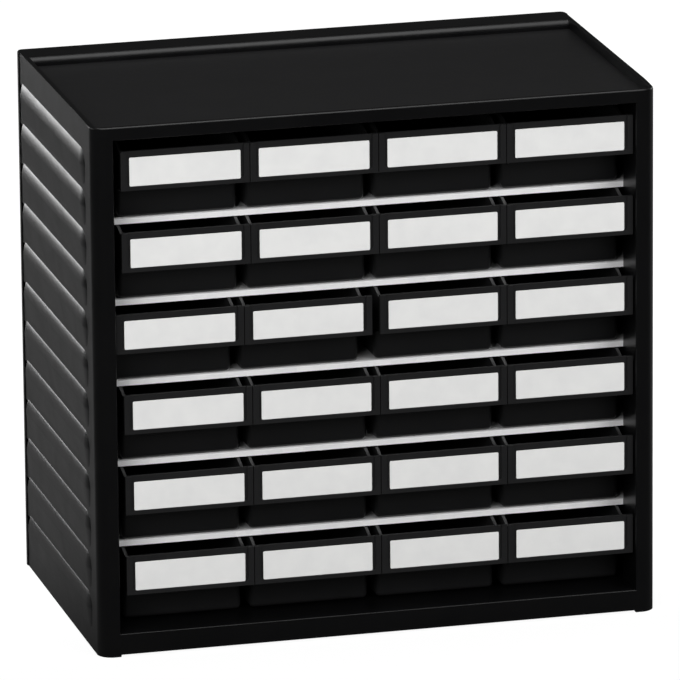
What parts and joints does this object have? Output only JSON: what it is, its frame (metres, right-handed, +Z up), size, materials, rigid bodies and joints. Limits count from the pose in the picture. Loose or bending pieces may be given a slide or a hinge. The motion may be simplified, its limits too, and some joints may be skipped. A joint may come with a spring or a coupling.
{
  "type": "parts bin cabinet",
  "caption": "Bench-top small parts cabinet with rows of sliding drawers behind label plates, steel shelves between the rows, a tray in the top and stepped side walls",
  "frame": {"origin": "on the ground under the middle of the cabinet", "axes": "+X to the right seen from the front, +Y to the back, +Z up; the drawers face -Y"},
  "size_m": [0.31, 0.18, 0.29],
  "materials": {
    "frame_plastic": "satin black moulded plastic",
    "drawer_plastic": "smooth black moulded plastic, slightly glossier than the frame",
    "galvanised_steel": "bright galvanised sheet with a fine spangle",
    "label_card": "matt white card"
  },
  "bodies": {
    "cabinet": {"cabinet_shell": "frame_plastic", "shelf_1": "galvanised_steel", "shelf_2": "galvanised_steel", "shelf_3": "galvanised_steel", "shelf_4": "galvanised_steel", "shelf_5": "galvanised_steel"},
    "drawer_1_1": {"drawer_1_1": "drawer_plastic", "label_1_1": "label_card"},
    "drawer_1_2": {"drawer_1_2": "drawer_plastic", "label_1_2": "label_card"},
    "drawer_1_3": {"drawer_1_3": "drawer_plastic", "label_1_3": "label_card"},
    "drawer_1_4": {"drawer_1_4": "drawer_plastic", "label_1_4": "label_card"},
    "drawer_2_1": {"drawer_2_1": "drawer_plastic", "label_2_1": "label_card"},
    "drawer_2_2": {"drawer_2_2": "drawer_plastic", "label_2_2": "label_card"},
    "drawer_2_3": {"drawer_2_3": "drawer_plastic", "label_2_3": "label_card"},
    "drawer_2_4": {"drawer_2_4": "drawer_plastic", "label_2_4": "label_card"},
    "drawer_3_1": {"drawer_3_1": "drawer_plastic", "label_3_1": "label_card"},
    "drawer_3_2": {"drawer_3_2": "drawer_plastic", "label_3_2": "label_card"},
    "drawer_3_3": {"drawer_3_3": "drawer_plastic", "label_3_3": "label_card"},
    "drawer_3_4": {"drawer_3_4": "drawer_plastic", "label_3_4": "label_card"},
    "drawer_4_1": {"drawer_4_1": "drawer_plastic", "label_4_1": "label_card"},
    "drawer_4_2": {"drawer_4_2": "drawer_plastic", "label_4_2": "label_card"},
    "drawer_4_3": {"drawer_4_3": "drawer_plastic", "label_4_3": "label_card"},
    "drawer_4_4": {"drawer_4_4": "drawer_plastic", "label_4_4": "label_card"},
    "drawer_5_1": {"drawer_5_1": "drawer_plastic", "label_5_1": "label_card"},
    "drawer_5_2": {"drawer_5_2": "drawer_plastic", "label_5_2": "label_card"},
    "drawer_5_3": {"drawer_5_3": "drawer_plastic", "label_5_3": "label_card"},
    "drawer_5_4": {"drawer_5_4": "drawer_plastic", "label_5_4": "label_card"},
    "drawer_6_1": {"drawer_6_1": "drawer_plastic", "label_6_1": "label_card"},
    "drawer_6_2": {"drawer_6_2": "drawer_plastic", "label_6_2": "label_card"},
    "drawer_6_3": {"drawer_6_3": "drawer_plastic", "label_6_3": "label_card"},
    "drawer_6_4": {"drawer_6_4": "drawer_plastic", "label_6_4": "label_card"}
  },
  "joints": [
    {"name": "slide_1_1", "type": "slide", "parent": "cabinet", "child": "drawer_1_1", "axis": [0, -1, 0], "range_m": [0, 0.13]},
    {"name": "slide_1_2", "type": "slide", "parent": "cabinet", "child": "drawer_1_2", "axis": [0, -1, 0], "range_m": [0, 0.13]},
    {"name": "slide_1_3", "type": "slide", "parent": "cabinet", "child": "drawer_1_3", "axis": [0, -1, 0], "range_m": [0, 0.13]},
    {"name": "slide_1_4", "type": "slide", "parent": "cabinet", "child": "drawer_1_4", "axis": [0, -1, 0], "range_m": [0, 0.13]},
    {"name": "slide_2_1", "type": "slide", "parent": "cabinet", "child": "drawer_2_1", "axis": [0, -1, 0], "range_m": [0, 0.13]},
    {"name": "slide_2_2", "type": "slide", "parent": "cabinet", "child": "drawer_2_2", "axis": [0, -1, 0], "range_m": [0, 0.13]},
    {"name": "slide_2_3", "type": "slide", "parent": "cabinet", "child": "drawer_2_3", "axis": [0, -1, 0], "range_m": [0, 0.13]},
    {"name": "slide_2_4", "type": "slide", "parent": "cabinet", "child": "drawer_2_4", "axis": [0, -1, 0], "range_m": [0, 0.13]},
    {"name": "slide_3_1", "type": "slide", "parent": "cabinet", "child": "drawer_3_1", "axis": [0, -1, 0], "range_m": [0, 0.13]},
    {"name": "slide_3_2", "type": "slide", "parent": "cabinet", "child": "drawer_3_2", "axis": [0, -1, 0], "range_m": [0, 0.13]},
    {"name": "slide_3_3", "type": "slide", "parent": "cabinet", "child": "drawer_3_3", "axis": [0, -1, 0], "range_m": [0, 0.13]},
    {"name": "slide_3_4", "type": "slide", "parent": "cabinet", "child": "drawer_3_4", "axis": [0, -1, 0], "range_m": [0, 0.13]},
    {"name": "slide_4_1", "type": "slide", "parent": "cabinet", "child": "drawer_4_1", "axis": [0, -1, 0], "range_m": [0, 0.13]},
    {"name": "slide_4_2", "type": "slide", "parent": "cabinet", "child": "drawer_4_2", "axis": [0, -1, 0], "range_m": [0, 0.13]},
    {"name": "slide_4_3", "type": "slide", "parent": "cabinet", "child": "drawer_4_3", "axis": [0, -1, 0], "range_m": [0, 0.13]},
    {"name": "slide_4_4", "type": "slide", "parent": "cabinet", "child": "drawer_4_4", "axis": [0, -1, 0], "range_m": [0, 0.13]},
    {"name": "slide_5_1", "type": "slide", "parent": "cabinet", "child": "drawer_5_1", "axis": [0, -1, 0], "range_m": [0, 0.13]},
    {"name": "slide_5_2", "type": "slide", "parent": "cabinet", "child": "drawer_5_2", "axis": [0, -1, 0], "range_m": [0, 0.13]},
    {"name": "slide_5_3", "type": "slide", "parent": "cabinet", "child": "drawer_5_3", "axis": [0, -1, 0], "range_m": [0, 0.13]},
    {"name": "slide_5_4", "type": "slide", "parent": "cabinet", "child": "drawer_5_4", "axis": [0, -1, 0], "range_m": [0, 0.13]},
    {"name": "slide_6_1", "type": "slide", "parent": "cabinet", "child": "drawer_6_1", "axis": [0, -1, 0], "range_m": [0, 0.13]},
    {"name": "slide_6_2", "type": "slide", "parent": "cabinet", "child": "drawer_6_2", "axis": [0, -1, 0], "range_m": [0, 0.13]},
    {"name": "slide_6_3", "type": "slide", "parent": "cabinet", "child": "drawer_6_3", "axis": [0, -1, 0], "range_m": [0, 0.13]},
    {"name": "slide_6_4", "type": "slide", "parent": "cabinet", "child": "drawer_6_4", "axis": [0, -1, 0], "range_m": [0, 0.13]}
  ]
}
